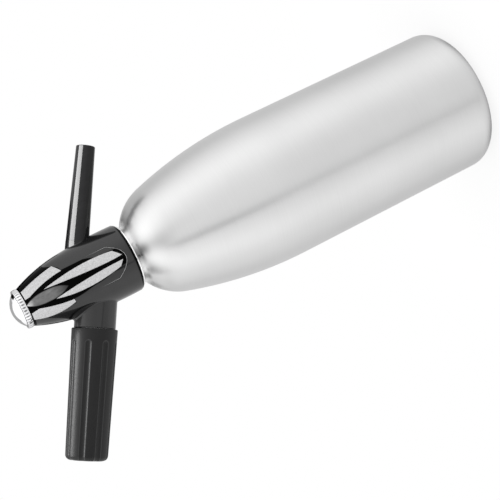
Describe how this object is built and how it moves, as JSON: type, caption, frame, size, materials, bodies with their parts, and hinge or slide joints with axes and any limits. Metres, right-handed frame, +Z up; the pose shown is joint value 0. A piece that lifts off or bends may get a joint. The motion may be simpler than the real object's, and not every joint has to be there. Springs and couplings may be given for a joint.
{
  "type": "soda siphon",
  "caption": "Push-button soda siphon: aluminium bottle, black screw-on head with striped panels, tapered spout, chrome button and a fluted holder for a gas charger.",
  "frame": {"origin": "centre of the ring foot, on the surface that the bottle stands on", "axes": "+Z up the bottle's axis towards the button, +X towards the spout"},
  "size_m": [0.1703, 0.09, 0.3212],
  "materials": {
    "satin_aluminium": "satin brushed",
    "gloss_black": "gloss",
    "satin_black": "satin",
    "chrome": "polished",
    "silver_trim": "satin silver",
    "machined_aluminium": "turned",
    "stainless_steel": "turned",
    "zinc_steel": "zinc plated",
    "brass": "turned",
    "black_rubber": "matt",
    "red_silicone": "matt",
    "white_plastic": "satin"
  },
  "bodies": {
    "bottle": {"bottle_base": "satin_aluminium", "bottle_side": "satin_aluminium", "bottle_shoulder": "satin_aluminium", "bottle_crown": "satin_aluminium", "bottle_neck": "satin_aluminium"},
    "neck_seal": {"neck_gasket": "red_silicone"},
    "head": {"riser_tube": "white_plastic", "riser_nut": "white_plastic", "valve_body": "machined_aluminium", "head_shell": "gloss_black", "front_panel": "gloss_black", "back_panel": "gloss_black", "front_inner_stripes": "silver_trim", "back_inner_stripes": "silver_trim", "front_outer_stripes": "silver_trim", "back_outer_stripes": "silver_trim", "spout": "gloss_black", "spout_washer": "black_rubber", "valve_spring": "stainless_steel", "stem_o_ring": "black_rubber", "gland_nut": "brass", "button_collar": "chrome", "charger_nipple": "machined_aluminium", "nipple_washer": "black_rubber", "check_valve": "red_silicone", "piercing_pin": "stainless_steel", "charger_seal": "black_rubber"},
    "button": {"push_button": "chrome", "valve_stem": "stainless_steel", "valve_seal": "black_rubber"},
    "charger": {"gas_charger": "zinc_steel"},
    "holder": {"charger_holder": "satin_black", "holder_insert": "machined_aluminium"}
  },
  "joints": [
    {"name": "head_lift", "type": "slide", "parent": "bottle", "child": "neck_seal", "axis": [0, 0, 1], "range_m": [0, 0.012]},
    {"name": "head_turn", "type": "hinge", "parent": "neck_seal", "child": "head", "pos_m": [0, 0, 0.24863], "axis": [0, 0, 1], "range_deg": [0, 1440]},
    {"name": "button_press", "type": "slide", "parent": "head", "child": "button", "axis": [0, 0, -1], "range_m": [0, 0.0022], "stiffness_N_per_m": 1500, "springref_m": -0.004, "deforming": ["valve_spring"]},
    {"name": "holder_travel", "type": "slide", "parent": "head", "child": "charger", "axis": [-0.8625, 0, 0.506], "range_m": [0, 0.012]},
    {"name": "holder_turn", "type": "hinge", "parent": "charger", "child": "holder", "pos_m": [-0.02889, 0, 0.27378], "axis": [-0.8625, 0, 0.506], "range_deg": [0, 2160]}
  ],
  "couplings": [
    {"joint": "head_lift", "follows": "head_turn", "m_per_rad": 0.00047746},
    {"joint": "holder_travel", "follows": "holder_turn", "m_per_rad": 0.00031831}
  ]
}
